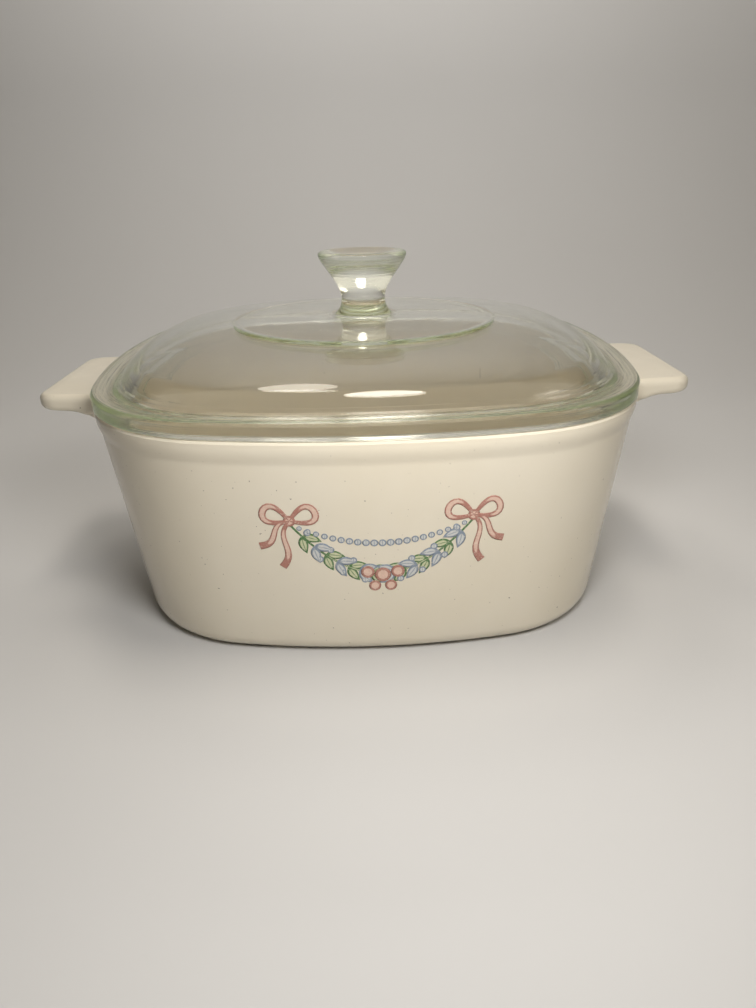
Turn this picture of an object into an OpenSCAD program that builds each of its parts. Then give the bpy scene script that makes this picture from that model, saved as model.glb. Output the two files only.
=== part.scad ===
// Covered casserole: a deep baking dish, square with round corners and bowed sides, with two lugs
// moulded in one with it, and a domed lid of pressed glass with a solid flared knob.
// Millimetres. The origin is the centre of the base, on the table. X runs through the lugs, Z is up.

/* [Dish] */
// Half width of the dish over the rim, at the middle of a side
rim_half = 112.6; // [95:0.1:135]
// Corner radius of the rim, seen from above
rim_corner = 64.9; // [56:0.1:74]
// Half angle of the shallow arc that bows each side out, in degrees
side_bow = 11.1; // [7:0.1:15]
// Height of the rim above the table
dish_height = 91; // [65:0.5:120]
// How far the wall leans in from the collar down to the base
wall_draft = 11; // [5:0.5:16]
// Thickness of the wall
wall = 5; // [4:0.1:7]
// Thickness of the floor
floor_thick = 5.5; // [4:0.1:9]
// Radius of the edge round the base, outside
base_round = 8; // [4:0.5:12]
// Radius where the floor turns up into the wall, inside
inner_round = 18; // [8:0.5:22]
// Depth of the recess under the base, which leaves a band to stand on
recess_depth = 0.6; // [0.3:0.1:1.5]
// Width of the band that the dish stands on
band_width = 12; // [8:0.5:18]

/* [Rim] */
// Height of the collar round the rim
collar_height = 6; // [4:0.5:12]
// How far the collar stands out from the wall
collar_out = 1.2; // [0.6:0.1:2.5]
// Rounding of the rim's outer and inner edge
rim_edge = 1.2; // [0.6:0.1:2]

/* [Lugs] */
// How far a lug reaches out from the rim
lug_reach = 26.4; // [20:0.1:36]
// Half width of a lug near its tip
lug_half = 37.5; // [26:0.5:42]
// Extra half width of a lug where it meets the rim
lug_flare = 2.5; // [0:0.5:6]
// Corner radius of a lug, seen from above
lug_corner = 9; // [6:0.5:18]
// Thickness of a lug out at its tip
lug_thick = 6.4; // [5.5:0.1:9]
// Rounding of a lug's edge
lug_edge = 2.6; // [1.5:0.1:2.7]
// Slope of a lug's underside, in degrees: it thickens towards the wall
lug_slope = 3.5; // [0:0.5:10]
// Drop of a lug's top face below the rim
lug_drop = 1.8; // [1.5:0.1:6]
// Radius of the hollow curve under a lug, where it turns down into the wall
lug_blend = 15; // [8:0.5:18]

/* [Lid] */
// How far the flange stands out past the rim
lid_overhang = 0.4; // [0:0.1:3]
// Thickness of the flange
flange_thick = 6.3; // [5:0.1:9]
// Width of the flat ledge of the flange, outside the dome
ledge_width = 10.8; // [9.5:0.1:14]
// Rounding of the flange's outer edges
flange_edge = 1.6; // [0.6:0.1:2.2]
// Height of the dome above the flange
dome_rise = 13.7; // [8:0.1:25]
// Thickness of the glass over the dome
glass_thick = 5; // [4:0.1:6]
// Depth of the skirt that drops into the dish
skirt_depth = 6; // [4:0.1:12]
// Thickness of the skirt
skirt_thick = 5; // [4:0.1:6]
// Play between the skirt and the inside of the rim
skirt_gap = 2.7; // [1:0.1:3.5]
// Radius of the raised round disc on top of the dome
disc_radius = 58.2; // [45:0.1:65]
// Height of the step round the disc
disc_step = 1.1; // [0.6:0.1:2]
// Rise of the disc from its edge to its middle
disc_crown = 1.6; // [0:0.1:2.4]

/* [Knob] */
// Height of the knob above the middle of the disc
knob_height = 26.7; // [22:0.1:34]
// Radius of the knob over its rim
knob_radius = 19.5; // [15:0.1:25]
// Radius of the knob's neck
neck_radius = 9.7; // [7:0.1:12]
// Height of the neck above the middle of the disc
neck_height = 6.7; // [5:0.1:10]
// Radius of the knob's foot, where it spreads into the disc
foot_radius = 14; // [12.5:0.1:20]
// Rounding of the knob's upper edge
knob_edge = 1.5; // [0.5:0.1:2.5]
// Depth of the shallow dish in the knob's top
knob_dish = 1; // [0.4:0.1:2]

/* [Hidden] */
$fn = 96;
ivory = [0.93, 0.90, 0.82];
clear = [0.80, 0.88, 0.84, 0.5];

// Radii and sections lie on a fine grid, so that one arc ends on the very points where the next begins.
grid = 1 / 128;
function snap(v) = round(v / grid) * grid;

// The rim's outline is eight arcs: four round corners, and four sides that bow out to meet them.
bow = sin(side_bow) - cos(side_bow);
corner_radius = snap(rim_corner);
side_radius = snap((rim_half + rim_corner * bow) / (1 + bow));
corner_at = (side_radius - corner_radius) * sin(side_bow);
side_at = (side_radius - corner_radius) * cos(side_bow) - corner_at;

// Sections are drawn as offsets from that outline, so inward is negative. They stop short of the corner's
// centre by corner_core, and a plain block fills the middle and laps them by block_lap.
corner_core = 8;
block_lap = 3;
section_in = corner_radius - corner_core;
block_half = rim_half - section_in + block_lap;
lean = wall_draft / (dish_height - collar_height);
rim_in = -collar_out - wall;
cut_over = 4;

// How strongly the knob's curves hold their direction at its neck and its brim, and how far the brim leans in
foot_hold = 0.4;
neck_hold = 0.36;
brim_hold = 0.25;
brim_lean = 0.1;

// Steps of the curves that are worked out as points
arc_step = 10;
side_steps = 6;
corner_steps = 12;
edge_steps = 4;
lug_steps = 7;
dome_steps = 9;
bezier_steps = 8;

// Where the lid's parts lie: heights above the table, and offsets from the rim's outline
flange_top = dish_height + flange_thick;
dome_top = flange_top + dome_rise;
disc_top = dome_top + disc_step;
disc_bottom = dome_top - glass_thick / 4;
crown_top = disc_top + disc_crown;
knob_top = crown_top + knob_height;
dome_foot = lid_overhang - ledge_width;
skirt_out = rim_in - skirt_gap;
skirt_in = skirt_out - skirt_thick;
skirt_round = skirt_thick / 4;

// Where a lug lies
lug_top = dish_height - lug_drop;
lug_tip = rim_half + lug_reach;
lug_root = rim_half - collar_out - 2 * wall;
lug_bend = rim_half - collar_out + lug_blend;
lug_bend_angle = 55;

function unit(v) = v / norm(v);

// The points of an arc of radius r that rounds the corner at p, between directions a and b
function round_corner(p, a, b, r) =
    let (half = acos(a * b) / 2)
    let (centre = p + unit(a + b) * r / sin(half))
    let (turn = 180 - 2 * half)
    let (steps = ceil(turn / arc_step))
    let (from = p + a * r / tan(half) - centre)
    let (way = a.x * b.y > a.y * b.x ? -1 : 1)
    [for (k = [0 : steps]) let (t = way * turn * k / steps)
        centre + [from.x * cos(t) - from.y * sin(t), from.x * sin(t) + from.y * cos(t)]];

function on_grid(points) = [for (p = points) [snap(p.x), snap(p.y)]];

// Corners are [x, y] where sharp, or [x, y, radius] where an arc rounds them
function rounded(corners) =
    let (n = len(corners))
    let (at = [for (c = corners) [c.x, c.y]])
    [for (i = [0 : n - 1])
        let (back = unit(at[(i + n - 1) % n] - at[i]))
        let (on = unit(at[(i + 1) % n] - at[i]))
        each on_grid(len(corners[i]) < 3 ? [at[i]] : round_corner(at[i], back, on, corners[i].z))];

function bezier(p, t) =
    p[0] * pow(1 - t, 3) + p[1] * 3 * t * pow(1 - t, 2) + p[2] * 3 * pow(t, 2) * (1 - t) + p[3] * pow(t, 3);

// The points along a cubic curve, after its first
function curve(p) = [for (k = [1 : bezier_steps]) bezier(p, k / bezier_steps)];

function turned(p, angle) = [p.x * cos(angle) - p.y * sin(angle), p.x * sin(angle) + p.y * cos(angle)];

// The rim's outline, moved outward by d, as points
function outline(d) =
    [for (quarter = [0 : 90 : 270]) each [
        for (k = [0 : side_steps - 1]) let (t = side_bow * (2 * k / side_steps - 1))
            turned([(side_radius + d) * cos(t) - side_at, (side_radius + d) * sin(t)], quarter),
        for (k = [0 : corner_steps - 1]) let (t = side_bow + (90 - 2 * side_bow) * k / corner_steps)
            turned([corner_at, corner_at] + (corner_radius + d) * [cos(t), sin(t)], quarter)]];

// The outline moved by d, drawn a share u of the way to a circle of radius r, at height z
function dome_ring(d, r, u, z) =
    [for (p = outline(d)) [each p * (1 - u) + unit(p) * r * u, z]];

// Rings of a quarter ellipse that rises from the outline at height low to a circle at height high
function dome_rings(d, r, low, high) =
    [for (k = [0 : dome_steps]) let (t = 90 * k / dome_steps)
        dome_ring(d, r, 1 - cos(t), low + (high - low) * sin(t))];

function flipped(list) = [for (i = [len(list) - 1 : -1 : 0]) list[i]];

// A closed solid through rings of equal length, from the first, which faces down, to the last
module loft(rings) {
    n = len(rings[0]);
    last = (len(rings) - 1) * n;
    sides = [for (r = [0 : len(rings) - 2], i = [0 : n - 1])
        let (a = r * n + i, b = r * n + (i + 1) % n)
        each [[a, a + n, b + n], [a, b + n, b]]];
    floor_cap = [for (i = [0 : n / 2 - 2]) each [[i, i + 1, n - 2 - i], [i, n - 2 - i, n - 1 - i]]];
    top_cap = [for (f = floor_cap) [for (i = flipped(f)) i + last]];
    polyhedron([for (r = rings) each r], concat(sides, floor_cap, top_cap), convexity = 6);
}

// Moves in three steps, each finer than the last, so that neighbouring arcs meet to the last digit
module move_finely(to) {
    fine = 1000;
    whole = [floor(to.x), floor(to.y)];
    part = [floor((to.x - whole.x) * fine), floor((to.y - whole.y) * fine)] / fine;
    translate(whole) translate(part) translate(to - whole - part) children();
}

// Carries a section, drawn as offsets and heights, round the eight arcs of the rim's outline
module carry_round() {
    for (quarter = [0 : 90 : 270])
        rotate(quarter) {
            move_finely([corner_at, corner_at])
                rotate_extrude(angle = 90 - 2 * side_bow, start = side_bow)
                    move_finely([corner_radius, 0]) children();
            move_finely([-side_at, 0])
                rotate_extrude(angle = 2 * side_bow, start = -side_bow)
                    move_finely([side_radius, 0]) children();
        }
}

module middle_block(low, high) {
    translate([-block_half, -block_half, low])
        cube([2 * block_half, 2 * block_half, high - low]);
}

// The dish as a solid, with its leaning wall, its collar and the round edge of its base
module dish_outside() {
    carry_round()
        polygon(rounded([
            [-section_in, 0],
            [-collar_out - wall_draft, 0, base_round],
            [-collar_out, dish_height - collar_height - collar_out],
            [0, dish_height - collar_height],
            [0, dish_height, rim_edge],
            [-section_in, dish_height]]));
    middle_block(0, dish_height);
}

// The space inside the dish, up past the rim, with the soft inner edge of the rim
module dish_inside() {
    top = dish_height + cut_over;
    carry_round()
        polygon(rounded([
            [-section_in, floor_thick],
            [rim_in - lean * (dish_height - floor_thick), floor_thick, inner_round],
            [rim_in, dish_height - rim_edge],
            [rim_in + rim_edge, dish_height],
            [rim_in + rim_edge, top],
            [-section_in, top]]));
    middle_block(floor_thick, top);
}

// The shallow recess under the base
module base_recess() {
    edge = -collar_out - wall_draft - base_round - band_width;
    carry_round()
        polygon(rounded([
            [-section_in, -cut_over],
            [edge, -cut_over],
            [edge, recess_depth],
            [-section_in, recess_depth]]));
    middle_block(-cut_over, recess_depth);
}

// Half width of a lug at x: it widens towards the wall
function lug_half_at(x) = lug_half + lug_flare * pow(max(0, (lug_tip - lug_corner - x) / lug_reach), 2);

// How far the underside drops at x: a gentle slope, then a hollow arc, then straight on into the wall
function lug_dip(x) =
    let (in = lug_bend - x)
    let (arc_in = min(max(0, in), lug_blend * sin(lug_bend_angle)))
    tan(lug_slope) * (lug_tip - x) + lug_blend - sqrt(pow(lug_blend, 2) - pow(arc_in, 2))
        + tan(lug_bend_angle) * max(0, in - arc_in);

// One side of a lug's outline, drawn in by inset: along the side from the root, then round the corner
function lug_side(inset) = [
    [lug_root, lug_half_at(lug_root) - inset],
    for (k = [lug_steps : -1 : 0]) let (x = lug_bend - lug_blend * sin(lug_bend_angle * k / lug_steps))
        [x, lug_half_at(x) - inset],
    for (k = [lug_steps : -1 : 0]) let (t = 90 * k / lug_steps)
        [lug_tip - lug_corner, lug_half - lug_corner] + (lug_corner - inset) * [cos(t), sin(t)]];

// A ring round a lug: share 0 is the top face and share 1 the underside, and lift raises the ring from it
function lug_ring(inset, share, lift) =
    let (half = lug_side(inset))
    [for (p = concat([for (q = half) [q.x, -q.y]], flipped(half)))
        [p.x, p.y, lug_top - share * (lug_thick + lug_dip(p.x)) + lift]];

module lug() {
    loft([
        for (t = [0 : 90 / edge_steps : 90]) lug_ring(lug_edge * (1 - sin(t)), 1, lug_edge * (1 - cos(t))),
        for (t = [0 : 90 / edge_steps : 90]) lug_ring(lug_edge * (1 - cos(t)), 0, -lug_edge * (1 - sin(t)))]);
}

module dish() {
    color(ivory)
        difference() {
            union() {
                dish_outside();
                for (turn = [0, 180]) rotate(turn) lug();
            }
            dish_inside();
            base_recess();
        }
}

// The flat flange that rests on the rim. Its inner edge is buried in the glass of the dome.
module lid_flange() {
    root = (dome_foot + skirt_in) / 2;
    carry_round()
        polygon(rounded([
            [root, dish_height],
            [lid_overhang, dish_height, flange_edge / 2],
            [lid_overhang, flange_top, flange_edge],
            [root, flange_top]]));
}

// The dome and the skirt under it, as one shell that goes from a square outline to a round one. The glass
// is even: its underside runs along with the dome and with the crown of the disc.
module lid_dome() {
    skirt_bottom = dish_height - skirt_depth;
    inner = dome_rings(dome_foot - glass_thick, disc_radius, flange_top, dome_top - glass_thick);
    under_disc = [for (k = [1 : edge_steps]) let (r = disc_radius * (1 - k / (edge_steps + 1)))
        dome_ring(0, r, 1, disc_at(r) - disc_step - glass_thick)];
    loft(concat(
        flipped(concat(inner, under_disc)), [
            dome_ring(skirt_in, 0, 0, skirt_bottom + skirt_round),
            dome_ring(skirt_in + skirt_round, 0, 0, skirt_bottom),
            dome_ring(skirt_out - skirt_round, 0, 0, skirt_bottom),
            dome_ring(skirt_out, 0, 0, skirt_bottom + skirt_round),
            dome_ring(skirt_out, 0, 0, dish_height + flange_thick / 3),
            dome_ring(dome_foot, 0, 0, dish_height + flange_thick * 2 / 3)],
        dome_rings(dome_foot, disc_radius - disc_step, flange_top, dome_top)));
}

// Height of the crowned disc at radius r
function disc_at(r) = crown_top - disc_crown * pow(r / disc_radius, 2);

// The raised disc and the knob, turned as one: the knob spreads into the disc and flares to its rim
module lid_knob() {
    chamfer = disc_step / 3;
    foot = disc_at(foot_radius);
    neck = crown_top + neck_height;
    brim = knob_top - knob_edge;
    flare = brim - neck;
    waist = knob_radius - neck_radius;
    dish_edge = knob_radius - 2 * knob_edge;
    disc_edge = disc_radius - chamfer;
    rotate_extrude()
        polygon(concat(
            [[0, disc_bottom], [disc_radius, disc_bottom], [disc_radius, disc_at(disc_radius) - chamfer]],
            [for (k = [0 : edge_steps]) let (r = disc_edge + (foot_radius - disc_edge) * k / edge_steps)
                [r, disc_at(r)]],
            curve([[foot_radius, foot], [(foot_radius + neck_radius) / 2, foot],
                [neck_radius, neck - neck_height * foot_hold], [neck_radius, neck]]),
            curve([[neck_radius, neck], [neck_radius, neck + flare * neck_hold],
                [knob_radius - waist * brim_lean, brim - flare * brim_hold], [knob_radius, brim]]),
            [for (k = [1 : edge_steps]) let (t = 90 * k / edge_steps)
                [knob_radius - knob_edge * (1 - cos(t)), knob_top - knob_edge * (1 - sin(t))]],
            [for (k = [0 : edge_steps]) let (r = dish_edge * (1 - k / edge_steps))
                [r, knob_top - knob_dish * (1 - pow(r / dish_edge, 2))]]));
}

module lid() {
    color(clear)
        union() {
            lid_dome();
            lid_flange();
            lid_knob();
        }
}

dish();
lid();
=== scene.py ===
# %% [markdown]
# # A covered casserole dish
# The object is two loose pieces: a deep baking dish of opaque ivory glass-ceramic, square with round
# corners and two moulded lugs, and a domed lid of clear pressed glass with a solid flared knob.
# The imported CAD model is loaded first, as a fixed frame. Every surface below is worked out from the
# frame's own sizes and from a few named lengths in millimetres, so that it lies on the CAD solids.

import bpy
import numpy as np
from mathutils import Matrix, Vector


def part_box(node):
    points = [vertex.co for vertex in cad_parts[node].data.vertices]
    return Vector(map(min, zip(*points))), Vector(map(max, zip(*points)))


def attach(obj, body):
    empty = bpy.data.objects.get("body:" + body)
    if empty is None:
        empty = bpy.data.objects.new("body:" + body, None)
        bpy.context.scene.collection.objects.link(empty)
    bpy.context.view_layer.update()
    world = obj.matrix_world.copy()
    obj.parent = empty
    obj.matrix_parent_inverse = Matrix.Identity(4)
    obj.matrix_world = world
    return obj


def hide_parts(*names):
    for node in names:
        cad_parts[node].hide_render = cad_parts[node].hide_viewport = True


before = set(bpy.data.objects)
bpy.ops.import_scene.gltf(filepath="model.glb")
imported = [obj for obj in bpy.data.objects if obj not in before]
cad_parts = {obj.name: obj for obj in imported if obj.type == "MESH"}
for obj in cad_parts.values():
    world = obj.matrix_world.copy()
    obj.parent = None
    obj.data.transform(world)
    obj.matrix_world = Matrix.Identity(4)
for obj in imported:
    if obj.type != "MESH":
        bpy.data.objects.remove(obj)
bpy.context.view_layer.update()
MM = 0.001
dish_low, dish_high = (np.array(corner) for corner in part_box("dish"))
lid_low, lid_high = (np.array(corner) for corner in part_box("lid"))
print("dish, mm:", (dish_high - dish_low).round(4) / MM)
print("lid, mm:", (lid_high - lid_low).round(4) / MM)

# %% [markdown]
# ## The camera
# The photograph was taken from close by, a little above the rim, with a phone's main lens. The camera
# below was solved from the outline of the dish: it stands about 350 mm in front of the middle, looks
# down by 24 degrees and is rolled a little. Blender's sensor lies along the longer side of the picture,
# so the lens in millimetres is the focal length in pixels, over that side in pixels, times the sensor.

# %% Camera
CAMERA_AT = Vector((-1.19, -347.5, 171.15)) * MM
YAW, PITCH, ROLL = np.radians([0.919, 23.596, -1.372])
FOCAL_PIXELS, LONG_SIDE_PIXELS, SENSOR = 757, 1008, 36

forward = Vector((np.sin(YAW) * np.cos(PITCH), np.cos(YAW) * np.cos(PITCH), -np.sin(PITCH)))
level = Vector((np.cos(YAW), -np.sin(YAW), 0))
upright = level.cross(forward)
right = level * np.cos(ROLL) + upright * np.sin(ROLL)
up = upright * np.cos(ROLL) - level * np.sin(ROLL)

camera_data = bpy.data.cameras.new("camera")
camera_data.sensor_width = SENSOR
camera_data.lens = FOCAL_PIXELS / LONG_SIDE_PIXELS * SENSOR
camera = bpy.data.objects.new("camera", camera_data)
camera.matrix_world = Matrix.Translation(CAMERA_AT) @ Matrix((right, up, -forward)).transposed().to_4x4()
bpy.context.scene.collection.objects.link(camera)
bpy.context.scene.camera = camera
print("lens, mm:", round(camera_data.lens, 2))

# %% [markdown]
# ## The outline that both pieces share
# Seen from above, the rim is a square whose sides bow out in shallow arcs and whose corners are round.
# It could be drawn as a superellipse, but the mould was cut from arcs, and arcs that share a tangent
# have a handy property: every point is fixed by the angle that it faces, and moving it out by a
# distance only lengthens the radius. So one function of the angle and the distance gives the rim, the
# wall, the flange of the lid and its skirt.

# %% Outline
RIM_HALF = dish_high[1]
RIM_CORNER = 64.9 * MM
SIDE_BOW = np.radians(11.1)
bow = np.sin(SIDE_BOW) - np.cos(SIDE_BOW)
SIDE_RADIUS = (RIM_HALF + RIM_CORNER * bow) / (1 + bow)
CORNER_AT = (SIDE_RADIUS - RIM_CORNER) * np.sin(SIDE_BOW)
SIDE_AT = SIDE_RADIUS - RIM_HALF


def outline(facing, out):
    """The rim's outline, moved out by `out`, at the angles that it faces, in the quarter from +X to +Y.

    A point is the centre of the arc that faces that way, plus the arc's radius and `out` along the
    angle. The arcs' centres are (-SIDE_AT, 0), (CORNER_AT, CORNER_AT) and (0, -SIDE_AT).
    """
    facing, out = np.broadcast_arrays(facing, out)
    on_x, on_y = facing <= SIDE_BOW, facing >= np.pi / 2 - SIDE_BOW
    x = np.select([on_x, on_y], [-SIDE_AT, 0.0], CORNER_AT)
    y = np.select([on_x, on_y], [0.0, -SIDE_AT], CORNER_AT)
    radius = np.where(on_x | on_y, SIDE_RADIUS, RIM_CORNER) + out
    return np.stack([x + radius * np.cos(facing), y + radius * np.sin(facing)], -1)


print("side radius, mm:", round(SIDE_RADIUS / MM, 1), " corner centre, mm:", round(CORNER_AT / MM, 1))

# %% [markdown]
# ## From a quarter to a closed skin
# Both pieces are the same left and right, front and back. So each is worked out as a quarter: a grid
# of rings, from the middle of its underside round its edge to the middle of its top, by stations from
# the X axis to the Y axis. Mirroring the grid gives the whole ring. A mirror turns faces inside out,
# so the mirrored stations are also put in reverse order, which turns them back.

# %% Mirror
X_MIRROR, Y_MIRROR = np.array([-1, 1, 1]), np.array([1, -1, 1])


def whole(quarter):
    """The four mirrored copies of a quarter grid, in order round the ring, with shared stations once."""
    return np.concatenate([
        quarter,
        quarter[:, -2::-1] * X_MIRROR,
        quarter[:, 1:] * X_MIRROR * Y_MIRROR,
        quarter[:, -2:0:-1] * Y_MIRROR], axis=1)


print("a quarter of 3 stations makes a ring of", whole(np.zeros((1, 3, 3))).shape[1])

# %% [markdown]
# A grid of rings could be made a mesh face by face, in a loop. Whole arrays are quicker and shorter: the
# points are numbered in the order of the grid, a quad joins four neighbours, and a fan of triangles to a
# pole closes each end. Several skins with the same number of rings can go into one mesh.

# %% Mesh
def new_mesh(name, points, quads, triangles):
    """A smooth mesh object from arrays of points, quads and triangles, put in with foreach_set."""
    mesh = bpy.data.meshes.new(name)
    corners = np.concatenate([quads.ravel(), triangles.ravel()]).astype(np.int32)
    sizes = np.repeat([4, 3], [len(quads), len(triangles)])
    mesh.vertices.add(len(points))
    mesh.vertices.foreach_set("co", points.astype(np.float32).ravel())
    mesh.loops.add(len(corners))
    mesh.loops.foreach_set("vertex_index", corners)
    mesh.polygons.add(len(sizes))
    mesh.polygons.foreach_set("loop_start", (np.cumsum(sizes) - sizes).astype(np.int32))
    mesh.polygons.foreach_set("use_smooth", np.ones(len(sizes), bool))
    mesh.update(calc_edges=True)
    mesh.validate()
    piece = bpy.data.objects.new(name, mesh)
    bpy.context.scene.collection.objects.link(piece)
    print(name, "has", len(points), "points and", 2 * len(quads) + len(triangles), "triangles")
    return piece


def closed_skins(name, rings, first_poles, last_poles):
    """Closed skins over rings of stations: quads between the rings, and a fan to a pole at each end.

    The arrays are indexed by skin, ring and station. The stations run anticlockwise seen from the last
    pole, so that the cross product of the steps along stations and rings points out of the solid.
    """
    skins, count, around = rings.shape[:3]
    index = np.arange(skins * count * around).reshape(skins, count, around)
    beside = np.roll(index, -1, axis=2)
    quads = np.stack([index[:, :-1], beside[:, :-1], beside[:, 1:], index[:, 1:]], -1)
    first = np.broadcast_to(index.size + np.arange(skins)[:, None], (skins, around))
    fans = np.stack([
        np.stack([first, beside[:, 0], index[:, 0]], -1),
        np.stack([first + skins, index[:, -1], beside[:, -1]], -1)])
    points = np.concatenate([rings.reshape(-1, 3), first_poles, last_poles])
    return new_mesh(name, points, quads.reshape(-1, 4), fans.reshape(-1, 3))


# %% [markdown]
# ## The section of the dish
# Cut through the middle of a side, the dish is a leaning wall on a flat base, with a collar at the rim.
# The section is written as offsets from the rim's outline and heights above the table. Its corners
# are true arcs: a potter would call them the heel outside and the cove inside.

# %% Section of the dish
DISH_HEIGHT = dish_high[2]
WALL_DRAFT, WALL, FLOOR = 11 * MM, 5 * MM, 5.5 * MM
BASE_ROUND, INNER_ROUND = 8 * MM, 18 * MM
RECESS_DEPTH, BAND_WIDTH = 0.6 * MM, 12 * MM
COLLAR_HEIGHT, COLLAR_OUT, RIM_EDGE = 6 * MM, 1.2 * MM, 1.2 * MM
HEEL_POINTS, COVE_POINTS, EDGE_POINTS, RECESS_POINTS = 12, 16, 6, 4
STANDING_POINTS, RIM_POINTS, INNER_POINTS = 3, 2, 14

COLLAR_LOW = DISH_HEIGHT - COLLAR_HEIGHT
LEAN = WALL_DRAFT / COLLAR_LOW
BASE_OUT = -COLLAR_OUT - WALL_DRAFT
RIM_IN = -COLLAR_OUT - WALL
INNER_LEAN = LEAN * (DISH_HEIGHT - FLOOR) / (DISH_HEIGHT - FLOOR - RIM_EDGE)
COVE_OUT = RIM_IN - LEAN * (DISH_HEIGHT - FLOOR)


def arc(centre, radius, start, end, count):
    """Offsets and heights along an arc about a centre, between two angles in degrees."""
    turn = np.radians(np.linspace(start, end, count))
    return np.stack([centre[0] + radius * np.cos(turn), centre[1] + radius * np.sin(turn)], -1)


def line(start, end, count):
    """Offsets and heights along a straight line, without its two ends."""
    return np.linspace(start, end, count + 2)[1:-1]


def corner_arc(foot_out, foot, lean, radius, count):
    """The arc in the corner between a floor at height `foot` and a wall that leans out from `foot_out`.

    The centre lies one radius above the floor, and one radius, square to the wall, inside the wall.
    """
    tilt = np.arctan(lean)
    centre = foot_out + radius * (lean * (1 - np.sin(tilt)) - np.cos(tilt)), foot + radius
    return arc(centre, radius, -90, -np.degrees(tilt), count)


heel = corner_arc(BASE_OUT, 0, LEAN, BASE_ROUND, HEEL_POINTS)
cove = corner_arc(COVE_OUT, FLOOR, INNER_LEAN, INNER_ROUND, COVE_POINTS)
recess_out = BASE_OUT - BASE_ROUND - BAND_WIDTH
base_section = np.concatenate([
    arc((recess_out - RECESS_DEPTH, 0), RECESS_DEPTH, 90, 0, RECESS_POINTS),
    line((recess_out, 0), heel[0], STANDING_POINTS),
    heel])
rim_section = np.concatenate([
    arc((-RIM_EDGE, DISH_HEIGHT - RIM_EDGE), RIM_EDGE, 0, 90, EDGE_POINTS),
    line((-RIM_EDGE, DISH_HEIGHT), (RIM_IN + RIM_EDGE, DISH_HEIGHT), RIM_POINTS),
    arc((RIM_IN + RIM_EDGE, DISH_HEIGHT - RIM_EDGE), RIM_EDGE, 90, 180, EDGE_POINTS),
    line((RIM_IN, DISH_HEIGHT - RIM_EDGE), cove[-1], INNER_POINTS),
    cove[::-1]])
print("base and rim sections have", len(base_section), "and", len(rim_section), "points")

# %% [markdown]
# ## The lugs
# Each lug is a shelf that grows out of the collar, thickens towards the wall and turns down into it in
# a hollow curve. It could be a separate solid pushed into the wall, but then a sharp seam would show
# where pressed ware has none. Instead the lug is a second section for the band of rings below the rim:
# the plain band is the collar, the lug band is the shelf, and each station takes a share of the two.
# The shelf's own outline, seen from above, is a straight tip, a round corner and one cubic curve that
# runs back along the side and sweeps out into the line of the rim.

# %% Outline of a lug
LUG_TIP = dish_high[0]
LUG_HALF, LUG_CORNER = 37.5 * MM, 9 * MM
LUG_ROOT_HALF = 47 * MM
SIDE_PULL, ROOT_PULL = 14 * MM, 7 * MM
TIP_STEPS, CORNER_STEPS, SIDE_STEPS = 10, 16, 30

root_facing = np.arcsin(LUG_ROOT_HALF / SIDE_RADIUS)
root = outline(root_facing, 0)
root_way = np.array([-np.sin(root_facing), np.cos(root_facing)])


def evenly(start, end, count):
    """Values from start towards end in `count` even steps, without the end."""
    return np.linspace(start, end, count, endpoint=False)


def cubic(p0, p1, p2, p3, t):
    """Points of a cubic curve: its four points weighted by (1-t)^3, 3t(1-t)^2, 3t^2(1-t) and t^3."""
    t = np.asarray(t)[..., None]
    return p0 * (1 - t) ** 3 + p1 * 3 * t * (1 - t) ** 2 + p2 * 3 * t ** 2 * (1 - t) + p3 * t ** 3


tip_y = evenly(0, LUG_HALF - LUG_CORNER, TIP_STEPS)
turn = evenly(0, np.pi / 2, CORNER_STEPS)
corner_centre = np.array([LUG_TIP - LUG_CORNER, LUG_HALF - LUG_CORNER])
side_start = corner_centre + (0, LUG_CORNER)
lug_outline = np.concatenate([
    np.stack([np.full_like(tip_y, LUG_TIP), tip_y], -1),
    corner_centre + LUG_CORNER * np.stack([np.cos(turn), np.sin(turn)], -1),
    cubic(side_start, side_start - (SIDE_PULL, 0), root - ROOT_PULL * root_way, root,
          np.linspace(0, 1, SIDE_STEPS))])
lug_way = np.gradient(lug_outline, axis=0)
lug_way /= np.linalg.norm(lug_way, axis=1, keepdims=True)
print("lug outline has", len(lug_outline), "stations in a quarter")

# %% [markdown]
# The stations of the dish follow from that outline. Those of the lug are spread along the rim in
# proportion to the distance walked along the lug, so that rings stay even where the lug meets the wall.

# %% Stations of the dish
ROOT_STATIONS, CORNER_STATIONS, SIDE_STATIONS = 3, 40, 24

steps = np.linalg.norm(np.diff(lug_outline, axis=0), axis=1)
walked = np.concatenate([[0], np.cumsum(steps)]) / steps.sum()
facing = np.concatenate([
    np.arcsin(walked * LUG_ROOT_HALF / SIDE_RADIUS),
    np.linspace(root_facing, SIDE_BOW, ROOT_STATIONS + 2)[1:-1],
    evenly(SIDE_BOW, np.pi / 2 - SIDE_BOW, CORNER_STATIONS),
    np.linspace(np.pi / 2 - SIDE_BOW, np.pi / 2, SIDE_STATIONS)])
rim_line = outline(facing, 0)
edge_line = rim_line.copy()
edge_line[:len(lug_outline)] = lug_outline
edge_out = np.stack([np.cos(facing), np.sin(facing)], -1)
edge_out[:len(lug_outline)] = np.stack([lug_way[:, 1], -lug_way[:, 0]], -1)
print("the dish has", 4 * (len(facing) - 1), "stations")

# %% [markdown]
# The band of the lug is worked out as a whole grid. Its rings run from the foot of the hollow, up and
# out along the underside, round the full edge, and back over the top to the collar, where a small hollow
# meets the rim. Each hollow is a quarter round, so its height comes from the formula of a circle.

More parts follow.
